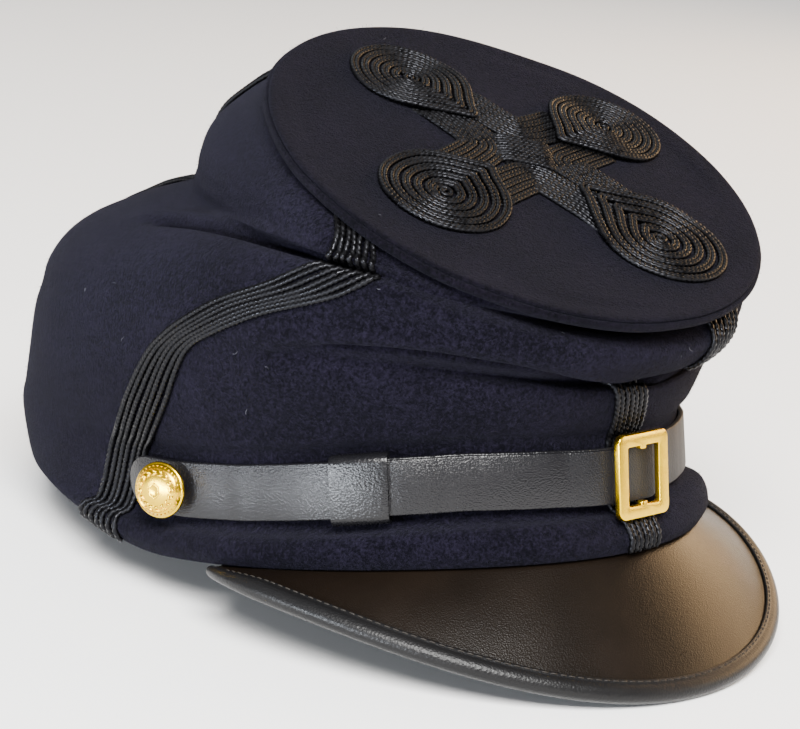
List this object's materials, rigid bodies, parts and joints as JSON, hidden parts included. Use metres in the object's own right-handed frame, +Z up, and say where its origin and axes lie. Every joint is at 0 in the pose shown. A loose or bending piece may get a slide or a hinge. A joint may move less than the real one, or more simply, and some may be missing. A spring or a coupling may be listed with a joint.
{
  "type": "kepi cap",
  "caption": "Soft wool forage cap that slumps forward, with a tilted oval top, cord knot and braid, a bound leather peak and a chin strap.",
  "frame": {"origin": "on the surface the cap rests on, under the middle of its bounding box", "axes": "+Z up; -Y is the front, where the peak is; -X is the wearer's right; Y runs along the cap's length"},
  "size_m": [0.1858, 0.2669, 0.1612],
  "materials": {
    "navy_wool": "napped wool broadcloth, matte",
    "black_leather": "fine grain, semi-gloss",
    "brass": "polished, slightly worn",
    "black_braid": "twisted cord with a slight sheen"
  },
  "bodies": {
    "root": {"crown": "navy_wool", "disc": "navy_wool", "visor": "black_leather", "visor_binding": "black_leather", "chin_strap": "black_leather", "chin_strap_lap": "black_leather", "strap_keeper": "black_leather", "strap_buckle": "brass", "button_right": "brass", "button_left": "brass", "braid_front_low": "black_braid", "braid_front_high": "black_braid", "braid_right_low": "black_braid", "braid_right_high": "black_braid", "braid_left_low": "black_braid", "braid_left_high": "black_braid", "braid_back_low": "black_braid", "braid_back_high": "black_braid", "knot_lobe_front": "black_braid", "knot_lobe_right": "black_braid", "knot_lobe_back": "black_braid", "knot_lobe_left": "black_braid", "knot_centre": "black_braid"}
  },
  "joints": []
}
